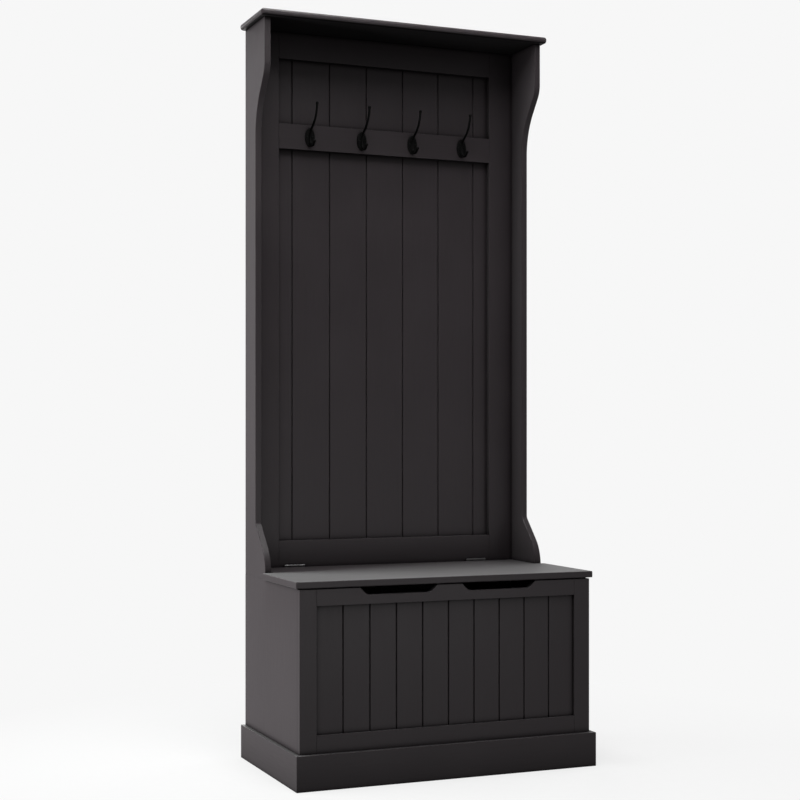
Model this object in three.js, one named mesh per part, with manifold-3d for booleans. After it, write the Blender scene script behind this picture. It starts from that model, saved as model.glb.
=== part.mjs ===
// Hall tree: a storage bench with a hinged lid, two shaped uprights with a top board, and a framed back with
// a rail of double coat hooks.
//
// Millimetres, +Z up. X runs across the piece, Y from its front (negative) to the wall behind it (positive).
// The origin is on the floor, under the middle of the overall width and depth.

import * as THREE from 'three';
import { mergeVertices } from 'three/addons/utils/BufferGeometryUtils.js';
import Module from 'manifold-3d';

const wasm = await Module();
wasm.setup();

// ---------------------------------------------------------------- driving dimensions

// Body: the box of the bench, carried up by the uprights.
const BODY_WIDTH = 776;
const BODY_DEPTH = 433;
const SIDE_THICKNESS = 16;
const BENCH_HEIGHT = 476.5;

// Plinth boards, which stand proud of the body at the front and the sides.
const PLINTH_FRONT_THICKNESS = 14;
const PLINTH_SIDE_THICKNESS = 12;
const PLINTH_HEIGHT = 85;

// Framed front of the bench. Its panel sits in a rebate along the frame's inner back edges.
const FRAME_THICKNESS = 18;
const FRONT_STILE_WIDTH = 43;
const FRONT_OPENING_BOTTOM = 128.5;
const FRONT_OPENING_TOP = 434;
const FRONT_TO_LID_GAP = 2.5;
const FRONT_BOTTOM_RAIL_BOTTOM = 60;
const FRONT_RECESS = 8;
const REBATE_WIDTH = 8;
const FRONT_PANEL_THICKNESS = 7;
const FRONT_BOARD_COUNT = 10;
const PANEL_EDGE_GAP = 0.5;

// Finger cut-outs in the top edge of the bench's front, one for each hand.
const CUTOUT_INNER_END = 31;
const CUTOUT_OUTER_END = 237;
const CUTOUT_DEPTH = 20;
const CUTOUT_SLANT = 20;
const CUTOUT_CORNER_RADIUS = 9;

// Floor of the bench and the cleats that carry it.
const BOTTOM_PANEL_TOP = 84;
const BOTTOM_PANEL_THICKNESS = 12;
const CLEAT_SIZE = 20;
const BENCH_BACK_THICKNESS = 18;

// Lid: wide in front of the uprights, and narrow where it passes between them.
const LID_THICKNESS = 16;
const LID_SIDE_OVERHANG = 9;
const LID_FRONT_OVERHANG = 2;
const LID_NOTCH_DEPTH = 261;
const LID_SIDE_CLEARANCE = 2;

// Uprights. Depths are measured back from the body's front face to the upright's front edge.
const UPRIGHT_TOP = 1889;
const UPRIGHT_FOOT_DEPTH = 264;
const UPRIGHT_WAIST_DEPTH = 345.5;
const UPRIGHT_HEAD_DEPTH = 268.5;
const FOOT_CURVE_BOTTOM = 489;
const FOOT_CURVE_RADIUS = 96;
const FOOT_CORNER_RADIUS = 15;
const FOOT_SLOPE = THREE.MathUtils.degToRad(44);
const HEAD_CURVE_TOP = 1780;
const HEAD_CURVE_RADIUS = 58;
const HEAD_HOLLOW_RADIUS = 175;
const HEAD_SLOPE = THREE.MathUtils.degToRad(38);

// Top board.
const TOP_THICKNESS = 17;
const TOP_SIDE_OVERHANG = 13;
const TOP_FRONT_DEPTH = 251.5;

// Framed back between the uprights, with a thin grooved panel behind the frame.
const BACK_FRAME_DEPTH = 409;
const BACK_STILE_WIDTH = 68;
const BACK_TOP_RAIL_BOTTOM = 1821;
const BACK_BOTTOM_RAIL_TOP = 561.5;
const HOOK_RAIL_BOTTOM = 1586;
const HOOK_RAIL_TOP = 1652;
const BACK_BOARD_WIDTH = 105;
const BACK_GROOVE_COUNT = 6;
const GROOVE_WIDTH = 4;
const GROOVE_DEPTH = 3.2;

// Double coat hooks: an oval plate with one bent rod, which makes a tall upper prong and a short lower one.
const HOOK_COUNT = 4;
const HOOK_PITCH = 146;
const HOOK_HEIGHT = 1619.5;
const HOOK_PLATE_WIDTH = 27;
const HOOK_PLATE_HEIGHT = 50;
const HOOK_PLATE_THICKNESS = 3;
const HOOK_ROD_RADIUS = 3.1;
const HOOK_TIP_RADIUS = 4.2;
const HOOK_SCREW_SPREAD = 8;
// The rod's centre line from the upper tip to the lower one: distance in front of the rail, height from the
// plate's centre.
const HOOK_LINE = [
  [58, 80],
  [54, 63],
  [45, 46],
  [31, 32],
  [14, 21],
  [5, 11],
  [4, -2],
  [7, -16],
  [16, -24],
  [28, -24],
  [38, -15],
];

// Butt hinges, which stand on edge between the lid and the back's bottom rail.
const HINGE_SPREAD = 262;
const HINGE_LENGTH = 56;
const HINGE_KNUCKLE_COUNT = 5;
const HINGE_KNUCKLE_RADIUS = 3;
const HINGE_KNUCKLE_GAP = 0.4;
const HINGE_PIN_RADIUS = 1.25;
const HINGE_BORE_RADIUS = 1.4;
const HINGE_LEAF_THICKNESS = 1.5;
const HINGE_LEAF_GAP = 0.75;
const HINGE_LEAF_HEIGHT = 15;
const HINGE_AXIS_ABOVE_LID = 3.5;
const HINGE_AXIS_TO_RAIL = 3.25;
const HINGE_SCREW_SPREAD = 18;
const HINGE_NECK_OVERLAP = 1;
const HINGE_NECK_REACH = 2.75;
const FRAME_KNUCKLES = [0, 2, 4];
const LID_KNUCKLES = [1, 3];

// Screws, by head and shank. A hole is wider than its screw by the clearance.
const HOOK_SCREW = { headRadius: 3.4, headHeight: 1.8, shankRadius: 1.8, length: 15, countersunk: false };
const HINGE_SCREW = { headRadius: 2.8, headHeight: 1.2, shankRadius: 1.4, length: 11, countersunk: true };
const HOLE_CLEARANCE = 0.3;
const DOME_SHOULDER = 0.75;

// Dowels between the bench's sides, the uprights and the top board.
const DOWEL_RADIUS = 4;
const DOWEL_INTO_SIDE = 15;
const DOWEL_INTO_TOP = 10;
const DOWEL_DEPTHS = [300, 400];

// Fineness of round shapes.
const ROUND_SIDES = 16;
const SMALL_ROUND_SIDES = 12;
const CURVE_SEGMENTS = 12;
const HOOK_ROD_STEPS = 28;
const HOOK_ROD_CURVE_SEGMENTS = 5;
const HOOK_TIP_SEGMENTS = [10, 8];

// How far a cutting tool runs past the faces that it opens, and how close two corners are to be one.
const TOOL_OVERRUN = 5;
const SAME_CORNER = 1e-4;

// ---------------------------------------------------------------- derived places

const REAR_Y = (BODY_DEPTH + PLINTH_FRONT_THICKNESS) / 2;
const FRONT_Y = REAR_Y - BODY_DEPTH;
const HALF_BODY = BODY_WIDTH / 2;
const HALF_INSIDE = HALF_BODY - SIDE_THICKNESS;
const HALF_BACK_OPENING = HALF_INSIDE - BACK_STILE_WIDTH;
const HALF_FRONT_OPENING = HALF_BODY - FRONT_STILE_WIDTH;
const BACK_FRAME_Y = FRONT_Y + BACK_FRAME_DEPTH;
const BACK_PANEL_Y = BACK_FRAME_Y + FRAME_THICKNESS;
const FRAME_REAR_Y = FRONT_Y + FRAME_THICKNESS;
const BENCH_BACK_Y = REAR_Y - BENCH_BACK_THICKNESS;
const LID_TOP = BENCH_HEIGHT + LID_THICKNESS;
const FRONT_TOP = BENCH_HEIGHT - FRONT_TO_LID_GAP;
const HINGE_AXIS_Y = BACK_FRAME_Y - HINGE_AXIS_TO_RAIL;
const HINGE_AXIS_Z = LID_TOP + HINGE_AXIS_ABOVE_LID;
const FRAME_LEAF_Y = HINGE_AXIS_TO_RAIL - HINGE_LEAF_THICKNESS;
const LID_LEAF_Y = FRAME_LEAF_Y - HINGE_LEAF_GAP - HINGE_LEAF_THICKNESS;
const LID_REAR_Y = HINGE_AXIS_Y + LID_LEAF_Y;
const HINGE_SCREW_Z = -HINGE_AXIS_ABOVE_LID - HINGE_LEAF_HEIGHT / 2;

const SIDES = [
  { name: 'left', sign: -1 },
  { name: 'right', sign: 1 },
];

const group = new THREE.Group();

// ---------------------------------------------------------------- finishes

function charcoalPaint() {
  return new THREE.MeshStandardMaterial({ color: 0x2b2b2c, roughness: 0.5, metalness: 0 });
}

function blackIron() {
  return new THREE.MeshStandardMaterial({ color: 0x141415, roughness: 0.45, metalness: 0.8 });
}

function hingeSteel() {
  return new THREE.MeshStandardMaterial({ color: 0x5a5a5c, roughness: 0.4, metalness: 0.9 });
}

function paleBeech() {
  return new THREE.MeshStandardMaterial({ color: 0xc49a6c, roughness: 0.8, metalness: 0 });
}

// ---------------------------------------------------------------- making and cutting solids

function addMesh(name, geometry, material, parent = group) {
  const mesh = new THREE.Mesh(geometry, material);
  mesh.name = name;
  parent.add(mesh);
  return mesh;
}

// A painted board between its lowest and highest corners.
function addBoard(name, low, high) {
  const size = high.map((value, axis) => value - low[axis]);
  const mesh = addMesh(name, new THREE.BoxGeometry(...size), charcoalPaint());
  mesh.position.set(...low.map((value, axis) => value + size[axis] / 2));
  return mesh;
}

// An unnamed box between its lowest and highest corners, used to join to a piece.
function boxBetween(low, high) {
  const size = high.map((value, axis) => value - low[axis]);
  const mesh = new THREE.Mesh(new THREE.BoxGeometry(...size));
  mesh.position.set(...low.map((value, axis) => value + size[axis] / 2));
  return mesh;
}

// An unnamed round rod along X, used to join to or cut from a piece.
function rodAlongX(radius, length, x = 0) {
  const geometry = new THREE.CylinderGeometry(radius, radius, length, ROUND_SIDES);
  const mesh = new THREE.Mesh(geometry.rotateZ(Math.PI / 2));
  mesh.position.x = x;
  return mesh;
}

function outlineOf(points) {
  return new THREE.Shape(points.map(([across, up]) => new THREE.Vector2(across, up)));
}

// Extrudes an outline drawn in Y and Z along X, from x = 0 to the length.
function extrudeAlongX(outline, length) {
  const settings = { depth: length, bevelEnabled: false, curveSegments: CURVE_SEGMENTS };
  return new THREE.ExtrudeGeometry(outline, settings).rotateX(Math.PI / 2).rotateZ(Math.PI / 2);
}

// Extrudes an outline drawn in X and Z along Y, from y = -length to 0.
function extrudeAlongY(outline, length) {
  const settings = { depth: length, bevelEnabled: false, curveSegments: CURVE_SEGMENTS };
  return new THREE.ExtrudeGeometry(outline, settings).rotateX(Math.PI / 2);
}

function solidOf(geometry) {
  const bare = geometry.clone();
  bare.deleteAttribute('normal');
  bare.deleteAttribute('uv');
  const merged = mergeVertices(bare, SAME_CORNER);
  const vertProperties = new Float32Array(merged.attributes.position.array);
  const triVerts = new Uint32Array(merged.index.array);
  return new wasm.Manifold(new wasm.Mesh({ numProp: 3, vertProperties, triVerts }));
}

function geometryOf(solid) {
  const mesh = solid.getMesh();
  const geometry = new THREE.BufferGeometry();
  geometry.setAttribute('position', new THREE.BufferAttribute(mesh.vertProperties, 3));
  geometry.setIndex(new THREE.BufferAttribute(mesh.triVerts, 1));
  geometry.computeVertexNormals();
  return geometry;
}

// The solid of a mesh, in the frame of a piece that shares its parent.
function solidInFrameOf(piece, mesh) {
  piece.updateMatrix();
  mesh.updateMatrix();
  const toPiece = piece.matrix.clone().invert().multiply(mesh.matrix);
  return solidOf(mesh.geometry.clone().applyMatrix4(toPiece));
}

// Joins unnamed solids to a piece and cuts others from it. All of them share the piece's parent.
function shape(piece, { join = [], cut = [] }) {
  let solid = solidOf(piece.geometry);
  for (const extra of join) {
    solid = solid.add(solidInFrameOf(piece, extra));
  }
  for (const tool of cut) {
    solid = solid.subtract(solidInFrameOf(piece, tool));
  }
  piece.geometry = geometryOf(solid);
  return piece;
}

// ---------------------------------------------------------------- screws and dowels

// Half outline of a screw along Y, from its head to its tip. The head faces -Y and starts at y = 0: a
// countersunk one narrows into the piece behind that plane, and a domed one stands in front of it. Extra
// widens the whole screw.
function screwProfile({ headRadius, headHeight, shankRadius, length, countersunk }, extra) {
  const shank = shankRadius + extra;
  const head = headRadius + extra;
  const crown = countersunk
    ? [[shank, headHeight], [head, -extra], [0, -extra]]
    : [[shank, 0], [head, 0], [DOME_SHOULDER * headRadius, -DOME_SHOULDER * headHeight], [0, -headHeight]];
  const tip = [[0, length + extra], [shank, length + extra - shankRadius]];
  return [...tip, ...crown].reverse().map(([radius, y]) => new THREE.Vector2(radius, y));
}

function screwGeometry(screw, extra) {
  return new THREE.LatheGeometry(screwProfile(screw, extra), SMALL_ROUND_SIDES);
}

function screwHole(screw, position) {
  const hole = new THREE.Mesh(screwGeometry(screw, HOLE_CLEARANCE));
  hole.position.set(...position);
  return hole;
}

function addScrew(name, screw, position, material, parent) {
  const mesh = addMesh(name, screwGeometry(screw, 0), material, parent);
  mesh.position.set(...position);
  return mesh;
}

// A hole for a dowel, upright and centred on a point.
function dowelHole(x, y, z, halfLength) {
  const radius = DOWEL_RADIUS + HOLE_CLEARANCE;
  const height = 2 * (halfLength + HOLE_CLEARANCE);
  const geometry = new THREE.CylinderGeometry(radius, radius, height, SMALL_ROUND_SIDES);
  const hole = new THREE.Mesh(geometry.rotateX(Math.PI / 2));
  hole.position.set(x, y, z);
  return hole;
}

function dowelHoles(x, z, halfLength) {
  return DOWEL_DEPTHS.map((depth) => dowelHole(x, FRONT_Y + depth, z, halfLength));
}

function addDowels(side, level, x, z, below, above) {
  DOWEL_DEPTHS.forEach((depth, index) => {
    const length = below + above;
    const geometry = new THREE.CylinderGeometry(DOWEL_RADIUS, DOWEL_RADIUS, length, SMALL_ROUND_SIDES);
    const place = index === 0 ? 'front' : 'rear';
    const mesh = addMesh(`${side}_${level}_${place}_dowel`, geometry.rotateX(Math.PI / 2), paleBeech());
    mesh.position.set(x, FRONT_Y + depth, z + (above - below) / 2);
  });
}

// ---------------------------------------------------------------- grooved panels

// Plan outline of a panel whose front face has V grooves at the given places.
function groovedOutline(halfWidth, frontY, rearY, grooves) {
  const points = [[-halfWidth, rearY], [-halfWidth, frontY]];
  for (const x of grooves) {
    points.push([x - GROOVE_WIDTH / 2, frontY]);
    points.push([x, frontY + GROOVE_DEPTH]);
    points.push([x + GROOVE_WIDTH / 2, frontY]);
  }
  points.push([halfWidth, frontY], [halfWidth, rearY]);
  return outlineOf(points);
}

// Places of a row of lines with an even pitch, centred on x = 0.
function centredRow(count, pitch) {
  return Array.from({ length: count }, (_, index) => (index - (count - 1) / 2) * pitch);
}

// Two places, the same distance to the left and to the right of a centre.
function pairAbout(centre, distance) {
  return [centre - distance, centre + distance];
}

// A piece with the same plan outline all the way up.
function addUprightExtrusion(name, outline, bottom, top) {
  const geometry = new THREE.ExtrudeGeometry(outline, { depth: top - bottom, bevelEnabled: false });
  const mesh = addMesh(name, geometry, charcoalPaint());
  mesh.position.z = bottom;
  return mesh;
}

// ---------------------------------------------------------------- bench

function addBenchSide({ name, sign }) {
  const [left, right] = [sign * HALF_INSIDE, sign * HALF_BODY].sort((a, b) => a - b);
  const side = addBoard(`bench_${name}_side`, [left, FRAME_REAR_Y, 0], [right, REAR_Y, BENCH_HEIGHT]);
  const centre = (left + right) / 2;
  shape(side, { cut: dowelHoles(centre, BENCH_HEIGHT, DOWEL_INTO_SIDE) });
}

function addFrontStile({ name, sign }) {
  const rebateX = HALF_FRONT_OPENING + REBATE_WIDTH;
  const rebateY = FRONT_Y + FRONT_RECESS;
  const points = [
    [HALF_BODY, FRONT_Y],
    [HALF_BODY, FRAME_REAR_Y],
    [rebateX, FRAME_REAR_Y],
    [rebateX, rebateY],
    [HALF_FRONT_OPENING, rebateY],
    [HALF_FRONT_OPENING, FRONT_Y],
  ];
  const outline = outlineOf(points.map(([x, y]) => [sign * x, y]));
  addUprightExtrusion(`front_${name}_stile`, outline, 0, FRONT_TOP);
}

// A rail of the bench's front, with the rebate for the panel along its edge at the opening.
function addFrontRail(name, openingZ, farZ) {
  const rebateZ = openingZ + Math.sign(farZ - openingZ) * REBATE_WIDTH;
  const rebateY = FRONT_Y + FRONT_RECESS;
  const outline = outlineOf([
    [FRONT_Y, farZ],
    [FRONT_Y, openingZ],
    [rebateY, openingZ],
    [rebateY, rebateZ],
    [FRAME_REAR_Y, rebateZ],
    [FRAME_REAR_Y, farZ],
  ]);
  const geometry = extrudeAlongX(outline, 2 * HALF_FRONT_OPENING);
  const rail = addMesh(name, geometry, charcoalPaint());
  rail.position.x = -HALF_FRONT_OPENING;
  return rail;
}

// A shallow trapezium with rounded bottom corners, open at the rail's top edge.
function fingerCutout(sign) {
  const bottom = BENCH_HEIGHT - CUTOUT_DEPTH;
  const openTop = BENCH_HEIGHT + TOOL_OVERRUN;
  const wall = Math.hypot(CUTOUT_SLANT, CUTOUT_DEPTH);
  const alongX = (CUTOUT_CORNER_RADIUS * CUTOUT_SLANT) / wall;
  const alongZ = (CUTOUT_CORNER_RADIUS * CUTOUT_DEPTH) / wall;
  const innerBottom = CUTOUT_INNER_END + CUTOUT_SLANT;
  const outerBottom = CUTOUT_OUTER_END - CUTOUT_SLANT;
  const outline = new THREE.Shape();
  outline.moveTo(CUTOUT_INNER_END, openTop);
  outline.lineTo(CUTOUT_INNER_END, BENCH_HEIGHT);
  outline.lineTo(innerBottom - alongX, bottom + alongZ);
  outline.quadraticCurveTo(innerBottom, bottom, innerBottom + CUTOUT_CORNER_RADIUS, bottom);
  outline.lineTo(outerBottom - CUTOUT_CORNER_RADIUS, bottom);
  outline.quadraticCurveTo(outerBottom, bottom, outerBottom + alongX, bottom + alongZ);
  outline.lineTo(CUTOUT_OUTER_END, BENCH_HEIGHT);
  outline.lineTo(CUTOUT_OUTER_END, openTop);
  const tool = new THREE.Mesh(extrudeAlongY(outline, FRAME_THICKNESS + 2 * TOOL_OVERRUN));
  tool.position.y = FRAME_REAR_Y + TOOL_OVERRUN;
  if (sign < 0) {
    tool.rotation.z = Math.PI;
    tool.position.y = FRONT_Y - TOOL_OVERRUN;
  }
  return tool;
}

function addFrontPanel() {
  const halfWidth = HALF_FRONT_OPENING + REBATE_WIDTH - PANEL_EDGE_GAP;
  const frontY = FRONT_Y + FRONT_RECESS;
  const pitch = (2 * HALF_FRONT_OPENING) / FRONT_BOARD_COUNT;
  const grooves = centredRow(FRONT_BOARD_COUNT - 1, pitch);
  const outline = groovedOutline(halfWidth, frontY, frontY + FRONT_PANEL_THICKNESS, grooves);
  const bottom = FRONT_OPENING_BOTTOM - REBATE_WIDTH + PANEL_EDGE_GAP;
  const top = FRONT_OPENING_TOP + REBATE_WIDTH - PANEL_EDGE_GAP;
  addUprightExtrusion('front_grooved_panel', outline, bottom, top);
}

// Plinth boards, mitred where the front meets the sides.
function addPlinth() {
  const outerX = HALF_BODY + PLINTH_SIDE_THICKNESS;
  const outerY = FRONT_Y - PLINTH_FRONT_THICKNESS;
  const front = outlineOf([[-outerX, outerY], [outerX, outerY], [HALF_BODY, FRONT_Y], [-HALF_BODY, FRONT_Y]]);
  addUprightExtrusion('front_plinth', front, 0, PLINTH_HEIGHT);
  for (const { name, sign } of SIDES) {
    const points = [[outerX, outerY], [outerX, REAR_Y], [HALF_BODY, REAR_Y], [HALF_BODY, FRONT_Y]];
    const outline = outlineOf(points.map(([x, y]) => [sign * x, y]));
    addUprightExtrusion(`${name}_plinth`, outline, 0, PLINTH_HEIGHT);
  }
}

// The floor of the bench on its four cleats.
function addBenchFloor() {
  const underside = BOTTOM_PANEL_TOP - BOTTOM_PANEL_THICKNESS;
  const cleatBottom = underside - CLEAT_SIZE;
  const cleatX = HALF_INSIDE - CLEAT_SIZE;
  addBoard('bench_bottom_panel',
    [-HALF_INSIDE, FRAME_REAR_Y, underside], [HALF_INSIDE, BENCH_BACK_Y, BOTTOM_PANEL_TOP]);
  addBoard('left_bottom_cleat',
    [-HALF_INSIDE, FRAME_REAR_Y, cleatBottom], [-cleatX, BENCH_BACK_Y, underside]);
  addBoard('right_bottom_cleat',
    [cleatX, FRAME_REAR_Y, cleatBottom], [HALF_INSIDE, BENCH_BACK_Y, underside]);
  addBoard('front_bottom_cleat',
    [-cleatX, FRAME_REAR_Y, cleatBottom], [cleatX, FRAME_REAR_Y + CLEAT_SIZE, underside]);
  addBoard('back_bottom_cleat',
    [-cleatX, BENCH_BACK_Y - CLEAT_SIZE, cleatBottom], [cleatX, BENCH_BACK_Y, underside]);
}

function addBench() {
  SIDES.forEach(addBenchSide);
  SIDES.forEach(addFrontStile);
  const topRail = addFrontRail('front_top_rail', FRONT_OPENING_TOP, FRONT_TOP);
  shape(topRail, { cut: SIDES.map(({ sign }) => fingerCutout(sign)) });
  addFrontRail('front_bottom_rail', FRONT_OPENING_BOTTOM, FRONT_BOTTOM_RAIL_BOTTOM);
  addFrontPanel();
  addPlinth();
  addBenchFloor();
  addBoard('bench_back_panel', [-HALF_INSIDE, BENCH_BACK_Y, 0], [HALF_INSIDE, REAR_Y, BENCH_HEIGHT]);
}

// ---------------------------------------------------------------- lid

function addLid() {
  const wide = HALF_BODY + LID_SIDE_OVERHANG;
  const narrow = HALF_INSIDE - LID_SIDE_CLEARANCE;
  const frontY = FRONT_Y - LID_FRONT_OVERHANG;
  const notchY = FRONT_Y + LID_NOTCH_DEPTH;
  const outline = outlineOf([
    [-wide, frontY],
    [wide, frontY],
    [wide, notchY],
    [narrow, notchY],
    [narrow, LID_REAR_Y],
    [-narrow, LID_REAR_Y],
    [-narrow, notchY],
    [-wide, notchY],
  ]);
  const lid = addUprightExtrusion('bench_lid', outline, BENCH_HEIGHT, LID_TOP);
  const screwY = LID_REAR_Y + HINGE_LEAF_THICKNESS;
  const screwZ = HINGE_AXIS_Z + HINGE_SCREW_Z;
  shape(lid, { cut: hingeScrewPlaces().map((x) => backwards(screwHole(HINGE_SCREW, [x, screwY, screwZ]))) });
}

// ---------------------------------------------------------------- uprights and top board

// Side outline of an upright in Y and Z: a flared foot, a narrow waist and a curved head under the top board.
function uprightOutline() {
  const footY = FRONT_Y + UPRIGHT_FOOT_DEPTH;
  const waistY = FRONT_Y + UPRIGHT_WAIST_DEPTH;
  const headY = FRONT_Y + UPRIGHT_HEAD_DEPTH;
  const footArcEndY = footY + FOOT_CURVE_RADIUS * (1 - Math.cos(FOOT_SLOPE));
  const footArcEndZ = FOOT_CURVE_BOTTOM + FOOT_CURVE_RADIUS * Math.sin(FOOT_SLOPE);
  const cornerStartY = waistY - FOOT_CORNER_RADIUS * (1 - Math.cos(FOOT_SLOPE));
  const cornerStartZ = footArcEndZ + (cornerStartY - footArcEndY) / Math.tan(FOOT_SLOPE);
  const cornerCentreZ = cornerStartZ + FOOT_CORNER_RADIUS * Math.sin(FOOT_SLOPE);
  const headArcEndY = headY + HEAD_CURVE_RADIUS * (1 - Math.cos(HEAD_SLOPE));
  const headArcEndZ = HEAD_CURVE_TOP - HEAD_CURVE_RADIUS * Math.sin(HEAD_SLOPE);
  const hollowStartY = waistY - HEAD_HOLLOW_RADIUS * (1 - Math.cos(HEAD_SLOPE));
  const hollowStartZ = headArcEndZ - (hollowStartY - headArcEndY) / Math.tan(HEAD_SLOPE);
  const hollowCentreZ = hollowStartZ - HEAD_HOLLOW_RADIUS * Math.sin(HEAD_SLOPE);
  const outline = new THREE.Shape();
  outline.moveTo(REAR_Y, BENCH_HEIGHT);
  outline.lineTo(footY, BENCH_HEIGHT);
  outline.absarc(footY + FOOT_CURVE_RADIUS, FOOT_CURVE_BOTTOM, FOOT_CURVE_RADIUS,
    Math.PI, Math.PI - FOOT_SLOPE, true);
  outline.absarc(waistY - FOOT_CORNER_RADIUS, cornerCentreZ, FOOT_CORNER_RADIUS, -FOOT_SLOPE, 0, false);
  outline.absarc(waistY - HEAD_HOLLOW_RADIUS, hollowCentreZ, HEAD_HOLLOW_RADIUS, 0, HEAD_SLOPE, false);
  outline.absarc(headY + HEAD_CURVE_RADIUS, HEAD_CURVE_TOP, HEAD_CURVE_RADIUS,
    Math.PI + HEAD_SLOPE, Math.PI, true);
  outline.lineTo(headY, UPRIGHT_TOP);
  outline.lineTo(REAR_Y, UPRIGHT_TOP);
  return outline;
}

function addUpright({ name, sign }) {
  const geometry = extrudeAlongX(uprightOutline(), SIDE_THICKNESS);
  const upright = addMesh(`${name}_upright`, geometry, charcoalPaint());
  upright.position.x = sign > 0 ? HALF_INSIDE : -HALF_BODY;
  const centre = sign * (HALF_BODY - SIDE_THICKNESS / 2);
  const footHoles = dowelHoles(centre, BENCH_HEIGHT, DOWEL_INTO_SIDE);
  const headHoles = dowelHoles(centre, UPRIGHT_TOP, DOWEL_INTO_SIDE);
  shape(upright, { cut: [...footHoles, ...headHoles] });
  addDowels(name, 'foot', centre, BENCH_HEIGHT, DOWEL_INTO_SIDE, DOWEL_INTO_SIDE);
  addDowels(name, 'head', centre, UPRIGHT_TOP, DOWEL_INTO_SIDE, DOWEL_INTO_TOP);
}

function addTopBoard() {
  const halfWidth = HALF_BODY + TOP_SIDE_OVERHANG;
  const top = addBoard('top_board',
    [-halfWidth, FRONT_Y + TOP_FRONT_DEPTH, UPRIGHT_TOP], [halfWidth, REAR_Y, UPRIGHT_TOP + TOP_THICKNESS]);
  const centres = SIDES.map(({ sign }) => sign * (HALF_BODY - SIDE_THICKNESS / 2));
  shape(top, { cut: centres.flatMap((x) => dowelHoles(x, UPRIGHT_TOP, DOWEL_INTO_TOP)) });
}

// ---------------------------------------------------------------- framed back

function addBackStile({ name, sign }) {
  const [left, right] = [sign * HALF_BACK_OPENING, sign * HALF_INSIDE].sort((a, b) => a - b);
  addBoard(`back_${name}_stile`, [left, BACK_FRAME_Y, BENCH_HEIGHT], [right, BACK_PANEL_Y, UPRIGHT_TOP]);
}

function addBackRail(name, bottom, top) {
  return addBoard(name, [-HALF_BACK_OPENING, BACK_FRAME_Y, bottom], [HALF_BACK_OPENING, BACK_PANEL_Y, top]);
}

function addBack() {
  SIDES.forEach(addBackStile);
  addBackRail('back_top_rail', BACK_TOP_RAIL_BOTTOM, UPRIGHT_TOP);
  const bottomRail = addBackRail('back_bottom_rail', BENCH_HEIGHT, BACK_BOTTOM_RAIL_TOP);
  const hingeScrewY = BACK_FRAME_Y - HINGE_LEAF_THICKNESS;
  const hingeScrewZ = HINGE_AXIS_Z + HINGE_SCREW_Z;
  const hingeHoles = hingeScrewPlaces().map((x) => screwHole(HINGE_SCREW, [x, hingeScrewY, hingeScrewZ]));
  shape(bottomRail, { cut: hingeHoles });
  const hookRail = addBackRail('hook_rail', HOOK_RAIL_BOTTOM, HOOK_RAIL_TOP);
  const plateFrontY = BACK_FRAME_Y - HOOK_PLATE_THICKNESS;
  const hookCentres = centredRow(HOOK_COUNT, HOOK_PITCH);
  const hookScrewPlaces = hookCentres.flatMap((centre) => pairAbout(centre, HOOK_SCREW_SPREAD));
  shape(hookRail, { cut: hookScrewPlaces.map((x) => screwHole(HOOK_SCREW, [x, plateFrontY, HOOK_HEIGHT])) });
  const grooves = centredRow(BACK_GROOVE_COUNT, BACK_BOARD_WIDTH);
  const panel = groovedOutline(HALF_INSIDE, BACK_PANEL_Y, REAR_Y, grooves);
  addUprightExtrusion('back_grooved_panel', panel, BENCH_HEIGHT, UPRIGHT_TOP);
}

// ---------------------------------------------------------------- coat hooks

// The bent rod and its two rounded tips, in the frame of the plate's back.
function hookRod() {
  const points = HOOK_LINE.map(([forward, up]) => new THREE.Vector3(0, -forward, up));
  const line = new THREE.CatmullRomCurve3(points);
  const section = new THREE.Shape().absarc(0, 0, HOOK_ROD_RADIUS, 0, 2 * Math.PI, false);
  const settings = { extrudePath: line, steps: HOOK_ROD_STEPS, curveSegments: HOOK_ROD_CURVE_SEGMENTS };
  const rod = new THREE.Mesh(new THREE.ExtrudeGeometry(section, settings));
  const tips = [line.getPoint(0), line.getPoint(1)].map((end) => {
    const tip = new THREE.Mesh(new THREE.SphereGeometry(HOOK_TIP_RADIUS, ...HOOK_TIP_SEGMENTS));
    tip.position.copy(end);
    return tip;
  });
  return [rod, ...tips];
}

function addHook(centreX, index) {
  const name = `coat_hook_${index + 1}`;
  const hook = new THREE.Group();
  hook.position.set(centreX, BACK_FRAME_Y, HOOK_HEIGHT);
  group.add(hook);
  const oval = new THREE.Shape();
  oval.absellipse(0, 0, HOOK_PLATE_WIDTH / 2, HOOK_PLATE_HEIGHT / 2, 0, 2 * Math.PI, false, 0);
  const plate = addMesh(name, extrudeAlongY(oval, HOOK_PLATE_THICKNESS), blackIron(), hook);
  const screwPlaces = pairAbout(0, HOOK_SCREW_SPREAD).map((x) => [x, -HOOK_PLATE_THICKNESS, 0]);
  shape(plate, { join: hookRod(), cut: screwPlaces.map((place) => screwHole(HOOK_SCREW, place)) });
  SIDES.forEach((side, end) => {
    addScrew(`${name}_${side.name}_screw`, HOOK_SCREW, screwPlaces[end], blackIron(), hook);
  });
}

// ---------------------------------------------------------------- hinges

function hingeScrewPlaces() {
  return SIDES.flatMap(({ sign }) => pairAbout(sign * HINGE_SPREAD, HINGE_SCREW_SPREAD));
}

// Turns a screw or its hole round, so that its head faces the wall.
function backwards(mesh) {
  mesh.rotation.z = Math.PI;
  return mesh;
}

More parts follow.
